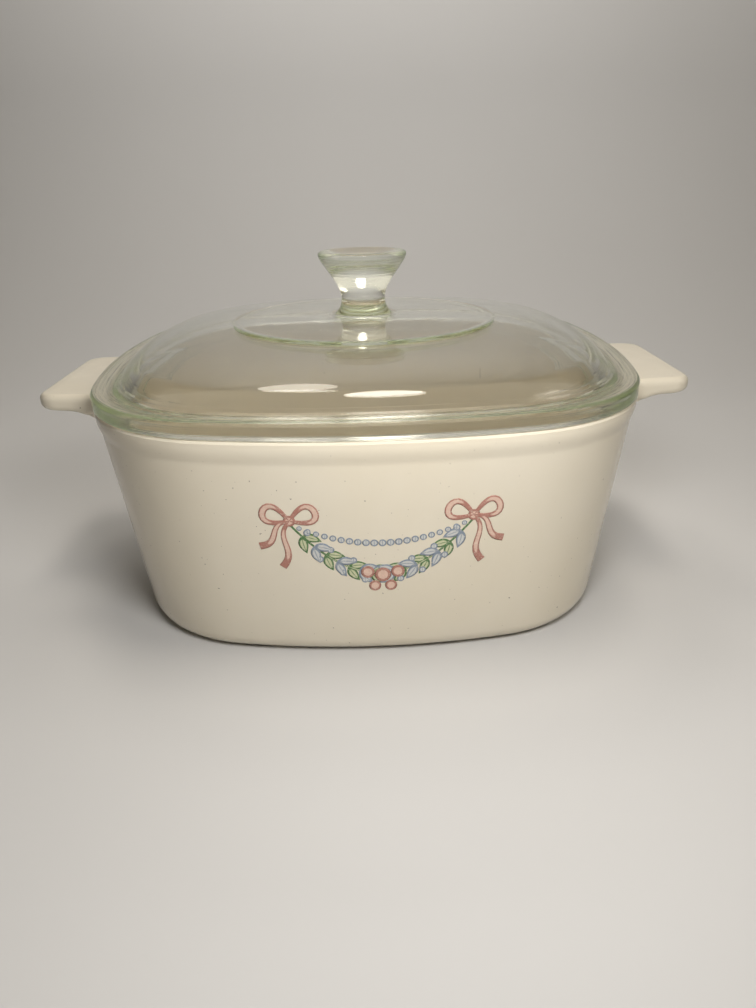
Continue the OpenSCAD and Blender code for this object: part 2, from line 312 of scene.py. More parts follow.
# %% Band of the lug
LUG_DROP, LUG_THICK, LUG_EDGE = 1.8 * MM, 6.4 * MM, 2.6 * MM
LUG_SLOPE = np.tan(np.radians(3.5))
HOLLOW_RADIUS, HOLLOW_FOOT = 19 * MM, 64 * MM
UNDER_RINGS, EDGE_RINGS, FACE_RINGS, TOP_RINGS = 16, 6, 3, 10

LUG_TOP = DISH_HEIGHT - LUG_DROP
TOP_HOLLOW = LUG_DROP - RIM_EDGE


def wall_out(height):
    """Offset of the outside of the wall at a height: it leans in by LEAN for each unit below the collar."""
    return -COLLAR_OUT - LEAN * (COLLAR_LOW - height)


def hollow(distance, radius):
    """Share of a hollow's height left at a distance from the wall, as a quarter round has it.

    It is 1 less the root of 1 - (1 - distance / radius)^2: 1 at the wall, and 0 from one radius out.
    """
    return 1 - np.sqrt(1 - np.clip(1 - distance / radius, 0, 1) ** 2)


def lug_under(x):
    """Height of a lug's underside before the hollow: it falls by LUG_SLOPE for each unit from the tip."""
    return LUG_TOP - LUG_THICK - LUG_SLOPE * (LUG_TIP - x)


def with_heights(plan, heights):
    """Points from plan positions and heights that broadcast to them."""
    return np.concatenate([plan, np.broadcast_to(heights, plan.shape[:-1])[..., None]], -1)


foot_plan = outline(facing, wall_out(HOLLOW_FOOT))
inner_edge = edge_line - LUG_EDGE * edge_out
share = (1 - np.cos(np.linspace(0, np.pi / 2, UNDER_RINGS)))[:, None, None]
under_plan = foot_plan + (inner_edge - foot_plan) * share
under_height = lug_under(under_plan[..., 0])
under_height -= (lug_under(foot_plan[:, 0]) - HOLLOW_FOOT) * hollow(
    under_plan[..., 0] - foot_plan[:, 0], HOLLOW_RADIUS)

low = under_height[-1]
round_turn = np.linspace(0, np.pi / 2, EDGE_RINGS + 1)[1:, None]
low_edge = with_heights(edge_line - LUG_EDGE * edge_out * (1 - np.sin(round_turn))[..., None],
                        low + LUG_EDGE * (1 - np.cos(round_turn)))
up_share = np.linspace(0, 1, FACE_RINGS + 2)[1:-1, None]
face = with_heights(np.broadcast_to(edge_line, (FACE_RINGS, *edge_line.shape)),
                    low + LUG_EDGE + (LUG_TOP - 2 * LUG_EDGE - low) * up_share)
high_edge = with_heights(edge_line - LUG_EDGE * edge_out * (1 - np.cos(round_turn))[..., None],
                         LUG_TOP - LUG_EDGE * (1 - np.sin(round_turn)))

share = np.sin(np.linspace(0, np.pi / 2, TOP_RINGS + 1))[1:, None, None]
top_plan = inner_edge + (rim_line - inner_edge) * share
top_gap = np.linalg.norm(rim_line - top_plan, axis=-1)
top = with_heights(top_plan, LUG_TOP + TOP_HOLLOW * hollow(top_gap, TOP_HOLLOW))
lug_band = np.concatenate([with_heights(under_plan, under_height), low_edge, face, high_edge, top])
print("the band of the lug has", len(lug_band), "rings")

# %% [markdown]
# In the plain band the wall swells softly into the collar. Both bands have the same number of rings, so
# each station can take a share of both: all of the lug where it stands well out, and none at its root.

# %% Band of the collar, and both bands blended
COLLAR_SOFT, BELOW_SWELL, SWELL_RINGS_SHARE = 3.6 * MM, 0.6 * MM, 0.5
BLEND_REACH = 9 * MM
band_foot = COLLAR_LOW - COLLAR_SOFT - BELOW_SWELL


def smooth_step(t):
    """A share that eases from 0 to 1 as t does: 3t^2 - 2t^3."""
    t = np.clip(t, 0, 1)
    return t * t * (3 - 2 * t)


band_height = np.interp(np.linspace(0, 1, len(lug_band)), [0, SWELL_RINGS_SHARE, 1],
                        [band_foot, COLLAR_LOW + COLLAR_SOFT, LUG_TOP + TOP_HOLLOW])[:, None]
swell = smooth_step((band_height - COLLAR_LOW + COLLAR_SOFT) / (2 * COLLAR_SOFT))
collar_band = with_heights(outline(facing, wall_out(band_height) * (1 - swell)), band_height)

reach = np.linalg.norm(edge_line - rim_line, axis=-1)
lug_share = smooth_step(reach / BLEND_REACH)[:, None]
band = collar_band + (lug_band - collar_band) * lug_share
print("the lug has a share in", np.count_nonzero(lug_share), "of", len(facing), "stations in a quarter")

# %% [markdown]
# The whole dish is then one grid: the recess under the base, the heel, the wall up to the band, the
# band, the rim, the inside of the wall, the cove and the floor. Rings of the flat middles shrink
# towards the poles.

# %% Dish
WALL_RINGS, MIDDLE_RINGS = 16, 6


def rings_of(section):
    """Rings of the outline at each offset and height of a section."""
    return with_heights(outline(facing, section[:, :1]), section[:, 1:])


def shrinking(ring, count):
    """Flat rings inside a ring, from near its middle out to it, and the ring itself left out."""
    shares = np.linspace(0, 1, count + 2)[1:-1, None, None]
    return ring * np.concatenate([shares, shares, np.ones_like(shares)], -1)


base_rings, rim_rings = rings_of(base_section), rings_of(rim_section)
wall_share = np.linspace(0, 1, WALL_RINGS + 2)[1:-1, None, None]
wall_rings = base_rings[-1] + (band[0] - base_rings[-1]) * wall_share
dish_grid = np.concatenate([
    shrinking(base_rings[0], MIDDLE_RINGS), base_rings, wall_rings, band, rim_rings,
    shrinking(rim_rings[-1], MIDDLE_RINGS)[::-1]])
dish = closed_skins("casserole_dish", whole(dish_grid)[None], [(0, 0, RECESS_DEPTH)], [(0, 0, FLOOR)])
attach(dish, "dish")
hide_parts("dish")

# %% [markdown]
# ## The lid
# The lid is one pressing of clear glass: a flat flange that lies on the rim, a skirt that drops into the
# dish, a low dome that goes from the square outline to a round disc, and a solid knob that flares from
# its neck. It could be cut from solids, but glass shows its inside, and every stray edge with it. So the
# lid is one closed skin, as the dish is, with an even wall and clean normals.

# %% Lengths of the lid
LID_OVERHANG = lid_high[1] - RIM_HALF
FLANGE_THICK, LEDGE_WIDTH, FLANGE_EDGE = 6.3 * MM, 10.8 * MM, 1.6 * MM
DOME_RISE, GLASS_THICK = 13.7 * MM, 5 * MM
SKIRT_THICK, SKIRT_GAP = 5 * MM, 2.7 * MM
DISC_RADIUS, DISC_STEP, DISC_CROWN = 58.2 * MM, 1.1 * MM, 1.6 * MM
NECK_RADIUS, NECK_HEIGHT, FOOT_RADIUS = 9.7 * MM, 6.7 * MM, 14 * MM
KNOB_EDGE, KNOB_DISH, KNOB_RADIUS = 1.5 * MM, 1 * MM, 19.5 * MM
SEAT_GAP = 0.05 * MM
SOFT_EDGE = 0.8 * MM

SKIRT_LOW, KNOB_TOP = lid_low[2], lid_high[2]
flange_low = DISH_HEIGHT + SEAT_GAP
flange_top = DISH_HEIGHT + FLANGE_THICK
dome_top = flange_top + DOME_RISE
disc_top = dome_top + DISC_STEP
crown_top = disc_top + DISC_CROWN
dome_foot = LID_OVERHANG - LEDGE_WIDTH
skirt_out = RIM_IN - SKIRT_GAP
skirt_in = skirt_out - SKIRT_THICK
print("knob top, mm:", round(KNOB_TOP / MM, 1), " crown of the disc, mm:", round(crown_top / MM, 1))

# %% [markdown]
# A ring of the flange or the skirt is the outline at an offset. A ring of the disc or the knob is a
# circle, with its stations in line with the outline's. The rings of the dome change from one to the
# other. A quarter ellipse would do for that, but a pressed dome is fuller at the shoulder, so its sine
# and cosine are raised to a power a little below 1, as in a superellipse.

# %% Stations and rings of the lid
DOME_FULL, DOME_START, DOME_END = 2.2, np.radians(7), np.radians(80.5)
LID_SIDE_STATIONS, LID_CORNER_STATIONS = 22, 50
lid_facing = np.concatenate([
    evenly(0, SIDE_BOW, LID_SIDE_STATIONS),
    evenly(SIDE_BOW, np.pi / 2 - SIDE_BOW, LID_CORNER_STATIONS),
    np.linspace(np.pi / 2 - SIDE_BOW, np.pi / 2, LID_SIDE_STATIONS + 1)])


def outline_rings(section):
    """Rings of the outline at the offsets and heights of a section."""
    return with_heights(outline(lid_facing, section[:, :1]), section[:, 1:])


def round_rings(section):
    """Circles at the radii and heights of a section, with their stations in line with the outline's."""
    ways = outline(lid_facing, dome_foot)
    ways /= np.linalg.norm(ways, axis=-1, keepdims=True)
    return with_heights(ways * section[:, :1, None], section[:, 1:])


def dome_rings(out, radius, low, high, count):
    """Rings of a full-shouldered quarter ellipse from the outline at `low` to a circle at `high`.

    At angle t the ring is a share 1 - cos(t)^p of the circle, and has risen by sin(t)^p of the height,
    with p = 2 / DOME_FULL. Both are scaled to reach 1 at DOME_END, where the dome is about as flat as
    the disc.
    """
    t = np.linspace(DOME_START, DOME_END, count)[:, None]
    power = 2 / DOME_FULL
    share = (1 - np.cos(t) ** power) / (1 - np.cos(DOME_END) ** power)
    rise = (np.sin(t) / np.sin(DOME_END)) ** power
    square = outline(lid_facing, out)
    circle = radius * square / np.linalg.norm(square, axis=-1, keepdims=True)
    return with_heights(square + (circle - square) * share[..., None], low + (high - low) * rise)


print("the lid has", 4 * (len(lid_facing) - 1), "stations")

# %% [markdown]
# The knob is turned: two cubic curves, one from the foot in to the neck and one from the neck out to
# the brim, which leave the neck upright and so meet without a crease.

# %% Section of the disc and the knob
FOOT_HOLD, NECK_HOLD, BRIM_HOLD, BRIM_LEAN = 0.4, 0.36, 0.25, 0.1
STEP_SOFT = 0.15 * MM
STEP_POINTS, FOOT_POINTS, FLARE_POINTS, BRIM_POINTS = 5, 16, 24, 8
DISC_RINGS, KNOB_RINGS = 16, 11


def disc_at(radius):
    """Height of the crowned disc at a radius: it falls with the square of the radius."""
    return crown_top - DISC_CROWN * (radius / DISC_RADIUS) ** 2


neck = np.array([NECK_RADIUS, crown_top + NECK_HEIGHT])
brim = np.array([KNOB_RADIUS, KNOB_TOP - KNOB_EDGE])
foot = np.array([FOOT_RADIUS, disc_at(FOOT_RADIUS)])
flare = brim[1] - neck[1]
dish_edge = KNOB_RADIUS - 2 * KNOB_EDGE

disc_side = disc_at(DISC_RADIUS)
disc_radii = np.linspace(DISC_RADIUS - STEP_SOFT, FOOT_RADIUS, DISC_RINGS + 2)[1:-1]
knob_radii = evenly(dish_edge, 0, KNOB_RINGS)
foot_pull = np.array([(FOOT_RADIUS + NECK_RADIUS) / 2, foot[1]])
brim_pull = brim - ((KNOB_RADIUS - NECK_RADIUS) * BRIM_LEAN, flare * BRIM_HOLD)
knob_section = np.concatenate([
    arc((DISC_RADIUS + STEP_SOFT, dome_top + STEP_SOFT), STEP_SOFT, -90, -180, STEP_POINTS),
    arc((DISC_RADIUS - STEP_SOFT, disc_side - STEP_SOFT), STEP_SOFT, 0, 90, STEP_POINTS),
    np.stack([disc_radii, disc_at(disc_radii)], -1),
    cubic(foot, foot_pull, neck - (0, NECK_HEIGHT * FOOT_HOLD), neck, np.linspace(0, 1, FOOT_POINTS)),
    cubic(neck, neck + (0, flare * NECK_HOLD), brim_pull, brim, np.linspace(0, 1, FLARE_POINTS))[1:],
    arc((KNOB_RADIUS - KNOB_EDGE, KNOB_TOP - KNOB_EDGE), KNOB_EDGE, 0, 90, BRIM_POINTS)[1:],
    np.stack([knob_radii, KNOB_TOP - KNOB_DISH * (1 - (knob_radii / dish_edge) ** 2)], -1)])
print("the knob's section has", len(knob_section), "points")

# %% [markdown]
# Seen at a low angle, glass whose two faces aren't parallel throws light sideways and looks black. A real
# lid is pressed with an even wall, so the inside of the dome is the outside moved in along its normals,
# and under the disc it has the same crown.

# %% Inside of the dome
DOME_RINGS, INNER_START, CROWN_RINGS = 40, 14, 12


def normals(rings):
    """Unit normals of a closed grid of rings: the cross product of the steps along stations and rings."""
    along = np.roll(rings, -1, axis=1) - np.roll(rings, 1, axis=1)
    across = np.cross(along, np.gradient(rings, axis=0))
    return across / np.linalg.norm(across, axis=-1, keepdims=True)


outer_dome = whole(dome_rings(dome_foot, DISC_RADIUS + 2 * STEP_SOFT, flange_top, dome_top, DOME_RINGS))
inner_dome = (outer_dome - GLASS_THICK * normals(outer_dome))[INNER_START:][::-1]
inner_top = dome_top - GLASS_THICK

crown_share = np.linspace(0, 1, CROWN_RINGS + 2)[1:-1, None, None]
under_crown = inner_dome[0] * crown_share
under_crown[..., 2] = inner_top + DISC_CROWN * (1 - crown_share[..., 0] ** 2)
glass_here = np.linalg.norm(outer_dome[-1, 0] - inner_dome[0, 0])
print("glass at the edge of the disc, mm:", round(glass_here / MM, 2))

# %% [markdown]
# The rest is one section carried round the outline: down the inside of the skirt, round its foot and up
# its outside, out under the flange, round the flange's edge, and back along the ledge to a small hollow
# from which the dome rises. A cubic curve, the haunch, leads the inside of the dome down into the skirt.
# Each point also stores how far along the section it lies, for the fine lines of the mould.

# %% Lid
LEDGE_SOFT, LEDGE_END = 2.5 * MM, -165
INNER_PULL, HAUNCH_RINGS = 4 * MM, 10
SKIRT_FOOT_POINTS, SIDE_POINTS, UNDER_POINTS, LEDGE_POINTS = 2, 4, 6, 5
CORNER_POINTS, ROUND_POINTS, SOFT_POINTS = 5, 6, 8
skirt_round = SKIRT_THICK / 4


def put_on_points(piece, name, values):
    """Stores an array of numbers on a piece's points as a named attribute, for its material to read."""
    attribute = piece.data.attributes.new(name, "FLOAT", "POINT")
    attribute.data.foreach_set("value", values.astype(np.float32).ravel())


under_section = np.concatenate([
    line((skirt_in, DISH_HEIGHT), (skirt_in, SKIRT_LOW + skirt_round), SIDE_POINTS),
    arc((skirt_in + skirt_round, SKIRT_LOW + skirt_round), skirt_round, 180, 270, ROUND_POINTS),
    line((skirt_in + skirt_round, SKIRT_LOW), (skirt_out - skirt_round, SKIRT_LOW), SKIRT_FOOT_POINTS),
    arc((skirt_out - skirt_round, SKIRT_LOW + skirt_round), skirt_round, -90, 0, ROUND_POINTS),
    line((skirt_out, SKIRT_LOW + skirt_round), (skirt_out, flange_low - SOFT_EDGE), SIDE_POINTS),
    arc((skirt_out + SOFT_EDGE, flange_low - SOFT_EDGE), SOFT_EDGE, 180, 90, CORNER_POINTS),
    line((skirt_out + SOFT_EDGE, flange_low), (LID_OVERHANG - SOFT_EDGE, flange_low), UNDER_POINTS),
    arc((LID_OVERHANG - SOFT_EDGE, flange_low + SOFT_EDGE), SOFT_EDGE, -90, 0, ROUND_POINTS),
    line((LID_OVERHANG, flange_low + SOFT_EDGE), (LID_OVERHANG, flange_top - FLANGE_EDGE), SIDE_POINTS),
    arc((LID_OVERHANG - FLANGE_EDGE, flange_top - FLANGE_EDGE), FLANGE_EDGE, 0, 90, SOFT_POINTS),
    line((LID_OVERHANG - FLANGE_EDGE, flange_top), (dome_foot + LEDGE_SOFT, flange_top), LEDGE_POINTS),
    arc((dome_foot + LEDGE_SOFT, flange_top + LEDGE_SOFT), LEDGE_SOFT, -90, LEDGE_END, SOFT_POINTS)])
under_rings = whole(outline_rings(under_section))
inner_way = inner_dome[-1] - inner_dome[-2]
inner_way *= INNER_PULL / np.linalg.norm(inner_way, axis=-1, keepdims=True)
haunch_share = np.linspace(0, 1, HAUNCH_RINGS + 2)[1:-1, None]
haunch = cubic(inner_dome[-1], inner_dome[-1] + inner_way,
               under_rings[0] + (0, 0, INNER_PULL), under_rings[0], haunch_share)
lid_grid = np.concatenate([
    under_crown, inner_dome, haunch, under_rings, outer_dome, whole(round_rings(knob_section))])
lid_poles = [(0, 0, inner_top + DISC_CROWN)], [(0, 0, KNOB_TOP - KNOB_DISH)]
lid = closed_skins("glass_lid", lid_grid[None], *lid_poles)

lid_section = lid_grid[:, 0]
section_steps = np.linalg.norm(np.diff(lid_section, axis=0, prepend=lid_section[:1]), axis=-1)
section_way = np.cumsum(section_steps)
put_on_points(lid, "section_way", np.concatenate([
    np.repeat(section_way, lid_grid.shape[1]), section_way[[0, -1]]]))
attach(lid, "lid")
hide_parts("lid")

# %% [markdown]
# ## The print on the front
# Such dishes carry a small transfer print, fired on in a few soft colours with a darker line round each
# form. The one here is a plain festoon: two ribbon bows hold up a garland of leaves and fruit, and a
# string of beads. It could be an image on the wall, but that blurs close up. Here each leaf, bead and
# ribbon is a stroke of ink: a path on the wall with a half width at each of its points, and as thick as
# fired enamel. All strokes have the same number of points, so a whole colour is one array.

# %% Ink on the front wall
PRINT_X, PRINT_Z = 4 * MM, 50.5 * MM
INK, INK_SUNK = 0.05 * MM, 0.1 * MM
INK_LIP, INK_ROOT = 0.1, 0.5
STROKE_POINTS, ACROSS_POINTS = 26, 9
along = np.sin(np.linspace(-np.pi / 2, np.pi / 2, STROKE_POINTS))
over = np.linspace(1, -1, ACROSS_POINTS)
ink_across = np.concatenate([over, [-INK_ROOT, INK_ROOT]])
ink_out = np.concatenate([INK * (1 + INK_LIP - over ** 4), [-INK_SUNK, -INK_SUNK]])


def on_front(plan, out):
    """Points of the front wall, lifted by `out`, at places to the right of and above the print's middle.

    The front is an arc about (0, SIDE_AT), and its radius is that of the rim plus the wall's offset.
    """
    turn = (PRINT_X + plan[..., 0]) / SIDE_RADIUS
    height = PRINT_Z + plan[..., 1]
    radius = SIDE_RADIUS + wall_out(height) + out
    return np.stack([radius * np.sin(turn), SIDE_AT - radius * np.cos(turn), height], -1)


def ink_piece(name, paths, halves, lift):
    """Strokes as thin closed solids, from paths and half widths that are indexed by stroke and point.

    The section at a point goes from the stroke's left edge over the ink to its right edge, and back
    under the wall's surface. A later colour is lifted, so that it lies on the earlier ones. Two
    attributes tell the material where a line is drawn: ink_edge is 0 in the middle of a stroke and 1
    round it, and ink_rib is the distance from its middle line.
    """
    ways = np.gradient(paths, axis=1)
    ways /= np.linalg.norm(ways, axis=-1, keepdims=True)
    left = np.stack([-ways[..., 1], ways[..., 0]], -1)
    plan = paths[:, :, None] + left[:, :, None] * (halves[..., None] * ink_across)[..., None]
    rings, poles = on_front(plan, ink_out + lift)[:, 1:-1], on_front(paths, lift)
    piece = closed_skins(name, rings, poles[:, 0], poles[:, -1])
    edge = 1 - (1 - along[1:-1, None] ** 2) * (1 - ink_across ** 2)
    rib = np.broadcast_to(np.abs(ink_across), edge.shape)
    at_poles = np.ones(2 * len(paths))
    for attribute, values in (("ink_edge", edge), ("ink_rib", rib)):
        on_rings = np.tile(values.ravel(), len(paths))
        put_on_points(piece, attribute, np.concatenate([on_rings, at_poles]))
    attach(piece, "dish")
    return piece


print("a stroke has", STROKE_POINTS, "points, and", len(ink_across), "round its section")

# %% [markdown]
# The garland hangs in a parabola. Leaves stand off it in pairs that point to its middle, where the fruit
# is. A leaf is widest below its middle and bends a little, and a bead or a fruit is a round stroke.

# %% Garland
SWAG_HALF, SWAG_TOP, SWAG_DROP, BEADS_DROP = 33 * MM, 8.5 * MM, 21 * MM, 8 * MM
LEAF_SPREAD, LEAF_LONG = np.radians(40), 7.4 * MM
LEAF_WIDE, LEAF_BEND, LEAF_BELLY = 0.24, 0.18, 0.3
FIRST_PAIR, LAST_PAIR, PAIRS = 0.06, 0.43, 7
STEM_HALF = 0.42 * MM


def swag(q, drop):
    """Points of a hanging string at shares q of its span: it sinks by 4q(1 - q) of its drop."""
    return np.stack([SWAG_HALF * (2 * q - 1), SWAG_TOP - drop * 4 * q * (1 - q)], -1)


def rounds(centres, radii):
    """Round strokes: the path is an upright diameter, and the half width closes the circle."""
    paths = centres[:, None] + radii[:, None, None] * np.stack([np.zeros_like(along), along], -1)
    return paths, radii[:, None] * np.sqrt(1 - along ** 2)


pair_at = np.linspace(FIRST_PAIR, LAST_PAIR, PAIRS)
leaf_at = np.concatenate([pair_at, 1 - pair_at]).repeat(2)
stem_way = np.arctan2(4 * SWAG_DROP * (2 * leaf_at - 1), 2 * SWAG_HALF)
stem_way += np.where(leaf_at > 0.5, np.pi, 0)
spread = np.tile([1, -1], len(leaf_at) // 2)
leaf_turn = stem_way + spread * LEAF_SPREAD
leaf_way = np.stack([np.cos(leaf_turn), np.sin(leaf_turn)], -1)
leaf_left = np.stack([-leaf_way[:, 1], leaf_way[:, 0]], -1) * -spread[:, None]
t = (along[:, None] + 1) / 2
leaf_paths = swag(leaf_at, SWAG_DROP)[:, None] + LEAF_LONG * (
    leaf_way[:, None] * t + leaf_left[:, None] * LEAF_BEND * t ** 2)
leaf_half = LEAF_WIDE * LEAF_LONG * (1 - along ** 2) * (1 - LEAF_BELLY * along)
leaf_halves = np.tile(leaf_half, (len(leaf_at), 1))

stem_path = swag(t[:, 0], SWAG_DROP)[None]
stem_halves = np.full((1, len(along)), STEM_HALF)
is_blue = np.arange(len(leaf_at)) // 2 % 2 == 1
print_green = ink_piece("print_green", np.concatenate([stem_path, leaf_paths[~is_blue]]),
                        np.concatenate([stem_halves, leaf_halves[~is_blue]]), 0)

# %% [markdown]
# A string of beads hangs above the garland. The beads grow towards its middle by a sine, as on a graded
# necklace. Small berries lie between the pairs of leaves, above and below the stem in turn. All of them
# are round strokes, so they share one piece with the blue leaves.

# %% Beads
BEAD_END, BEADS = 0.05, 21
BEAD_SMALL, BEAD_GROWTH = 0.9 * MM, 0.55 * MM
BERRY_OFF, BERRY_SIZE = 3.6 * MM, 1.35 * MM
bead_at = np.linspace(BEAD_END, 1 - BEAD_END, BEADS)
bead_size = BEAD_SMALL + BEAD_GROWTH * np.sin(np.pi * bead_at)
berry_at = np.concatenate([pair_at[:-1] + pair_at[1:], 2 - pair_at[:-1] - pair_at[1:]]) / 2
berry_off = np.array([0, BERRY_OFF]) * np.resize([1, -1], len(berry_at))[:, None]
round_at = np.concatenate([swag(bead_at, BEADS_DROP), swag(berry_at, SWAG_DROP) + berry_off])
round_size = np.concatenate([bead_size, np.full(len(berry_at), BERRY_SIZE)])
bead_paths, bead_halves = rounds(round_at, round_size)
print_blue = ink_piece("print_blue", np.concatenate([leaf_paths[is_blue], bead_paths]),
                       np.concatenate([leaf_halves[is_blue], bead_halves]), INK)

# %% [markdown]
# Each bow has two loops, two waving tails and a knot. A loop leaves the knot, goes out and comes back:
# its path is a sine of half a turn outward and a sine of a whole turn up and down, tilted. A tail goes
# straight out with the same wave, and widens to its end. The fruit are round strokes of three sizes.

# %% Ribbons and fruit
LOOP_LONG, LOOP_HIGH, LOOP_TILT = 10 * MM, 3.3 * MM, np.radians(22)
TAIL_LONG, TAIL_WAVE, TAIL_TILT = 16 * MM, 1.5 * MM, np.radians(-42)
INNER_TAIL_STRETCH, INNER_TAIL_TILT = 1.25, np.radians(-78)
RIBBON_HALF = 1.15 * MM
LOOP_NARROW, LOOP_WIDER, TAIL_NARROW, TAIL_WIDER = 0.55, 0.6, 0.6, 0.7
KNOT_UP, KNOT_SIZE = 1.5 * MM, 2.2 * MM
bow_at = np.array([SWAG_HALF, SWAG_TOP + KNOT_UP])
q = (along + 1) / 2
wave = np.sin(2 * np.pi * q)


def tilted(path, turn):
    """A path turned about the knot: its points times the matrix of the turn."""
    return path @ np.array([[np.cos(turn), np.sin(turn)], [-np.sin(turn), np.cos(turn)]])


loop = np.stack([LOOP_LONG * np.sin(np.pi * q), LOOP_HIGH * wave], -1)
tail = np.stack([TAIL_LONG * q, TAIL_WAVE * wave], -1)
ribbons = bow_at + np.stack([
    tilted(loop, LOOP_TILT),
    tilted(loop * (-1, 1), -LOOP_TILT),
    tilted(tail, TAIL_TILT),
    tilted(tail * (INNER_TAIL_STRETCH, 1), INNER_TAIL_TILT)])
ribbons = np.concatenate([ribbons, ribbons * (-1, 1)])
loop_half = RIBBON_HALF * (LOOP_NARROW + LOOP_WIDER * np.sin(np.pi * q))
tail_half = RIBBON_HALF * (TAIL_NARROW + TAIL_WIDER * q)
ribbon_halves = np.tile([loop_half, loop_half, tail_half, tail_half], (2, 1))

fruit_at = np.array([[0, -13.2], [5.6, -11.9], [-5.6, -11.9], [3, -18], [-3, -18]]) * MM
fruit_size = np.array([3.1, 2.6, 2.6, 2.3, 2.3]) * MM
knot_size = np.full(2, KNOT_SIZE)
round_paths, round_halves = rounds(np.concatenate([fruit_at, [bow_at, bow_at * (-1, 1)]]),
                                   np.concatenate([fruit_size, knot_size]))
print_pink = ink_piece("print_pink", np.concatenate([ribbons, round_paths]),
                       np.concatenate([ribbon_halves, round_halves]), 2 * INK)

# %% [markdown]
# ## Finishes
# Each finish is a small tree of nodes. It could be put together by hand in the node editor, but a tree
# that a script builds can be read from the top down and changed by its named values. The nodes that
# come again and again get a helper each.

# %% Helpers for materials
# The Mix node has sockets of the same names for numbers, vectors and colours, so its colours go by number.
FIRST_COLOUR, SECOND_COLOUR, MIXED_COLOUR = 6, 7, 2


def new_material(name):
    """An empty node material, and shorthands that add a node to it and link two sockets."""
    material = bpy.data.materials.new(name)
    material.use_nodes = True
    tree = material.node_tree
    tree.nodes.clear()

    def add(kind, **values):
        node = tree.nodes.new("ShaderNode" + kind)
        for key, value in values.items():
            setattr(node, key, value)
        return node

    return material, add, tree.links.new


def noise(add, link, coordinates, scale, detail=3.0, roughness=0.5):
    """A noise texture on the given coordinates. Scale is in bumps for each metre."""
    node = add("TexNoise")
    node.inputs["Scale"].default_value = scale
    node.inputs["Detail"].default_value = detail
    node.inputs["Roughness"].default_value = roughness
    link(coordinates, node.inputs["Vector"])
    return node.outputs["Fac"]


def ramp(add, link, value, low, high, at_low, at_high):
    """A value between low and high turned into a number between at_low and at_high, held beyond."""
    node = add("MapRange")
    node.interpolation_type = "SMOOTHSTEP"
    numbers = {"From Min": low, "From Max": high, "To Min": at_low, "To Max": at_high}
    for socket, number in numbers.items():
        node.inputs[socket].default_value = number
    link(value, node.inputs["Value"])
    return node.outputs["Result"]


def mix_colour(add, link, share, first, second):
    """A colour mixed from two, first x (1 - share) + second x share: each is a tuple or a colour socket."""
    node = add("Mix", data_type="RGBA")
    link(share, node.inputs["Factor"])
    for number, colour in ((FIRST_COLOUR, first), (SECOND_COLOUR, second)):
        if isinstance(colour, tuple):
            node.inputs[number].default_value = (*colour, 1)
        else:
            link(colour, node.inputs[number])
    return node.outputs[MIXED_COLOUR]


def bump(add, link, height, strength, distance, before=None):
    """A normal bent by a height texture, on top of one that is bent already where that is given."""
    node = add("Bump")
    node.inputs["Strength"].default_value = strength
    node.inputs["Distance"].default_value = distance
    link(height, node.inputs["Height"])
    if before:
        link(before, node.inputs["Normal"])
    return node.outputs["Normal"]


# %% [markdown]
# Glass-ceramic has a smooth, glossy, slightly warm surface. Used ware carries a faint mottle, a few dark
# specks and fine rubbing that dulls the gloss in patches. A painted image could hold these, but noise on
# Object coordinates has no seams and stays with the piece.

# %% Ivory glass-ceramic
IVORY, IVORY_WARM, SPECK = (0.80, 0.735, 0.605), (0.785, 0.715, 0.575), (0.22, 0.18, 0.14)
MOTTLE_SCALE, MOTTLE_LOW, MOTTLE_HIGH = 18, 0.35, 0.65
SPECK_SCALE, SPECK_DETAIL, SPECK_LOW, SPECK_HIGH, SPECK_SHARE = 900, 1, 0.784, 0.798, 0.85
RUBBING_SCALE, RUBBING_DETAIL, RUBBING_ROUGH, RUBBING_LOW, RUBBING_HIGH = 60, 5, 0.65, 0.4, 0.7
GLOSSY, RUBBED = 0.13, 0.24
RIPPLE_SCALE, RIPPLE_DETAIL, RIPPLE_STRENGTH, RIPPLE_HEIGHT = 120, 2, 0.06, 0.3 * MM
CERAMIC_IOR = 1.52

ivory, add, link = new_material("ivory_glass_ceramic")
here = add("TexCoord").outputs["Object"]
mottle = ramp(add, link, noise(add, link, here, MOTTLE_SCALE), MOTTLE_LOW, MOTTLE_HIGH, 0, 1)
grains = noise(add, link, here, SPECK_SCALE, SPECK_DETAIL)
specks = ramp(add, link, grains, SPECK_LOW, SPECK_HIGH, 0, SPECK_SHARE)
rubbing = noise(add, link, here, RUBBING_SCALE, RUBBING_DETAIL, RUBBING_ROUGH)
gloss = ramp(add, link, rubbing, RUBBING_LOW, RUBBING_HIGH, GLOSSY, RUBBED)
uneven = noise(add, link, here, RIPPLE_SCALE, RIPPLE_DETAIL)
ripple = bump(add, link, uneven, RIPPLE_STRENGTH, RIPPLE_HEIGHT)
clean = mix_colour(add, link, mottle, IVORY, IVORY_WARM)

glaze = add("BsdfPrincipled")
link(mix_colour(add, link, specks, clean, SPECK), glaze.inputs["Base Color"])
link(gloss, glaze.inputs["Roughness"])
link(ripple, glaze.inputs["Normal"])
glaze.inputs["IOR"].default_value = CERAMIC_IOR
link(glaze.outputs["BSDF"], add("OutputMaterial").inputs["Surface"])
dish.data.materials.append(ivory)
print(dish.name, "is finished in", ivory.name)

# %% [markdown]
# The ink is enamel: a line in full colour round each form and a pale wash inside it, both a little worn.
# The line could be a piece of its own, but the strokes already carry how near each point is to the edge
# and to the middle, so the material draws it from those two attributes.

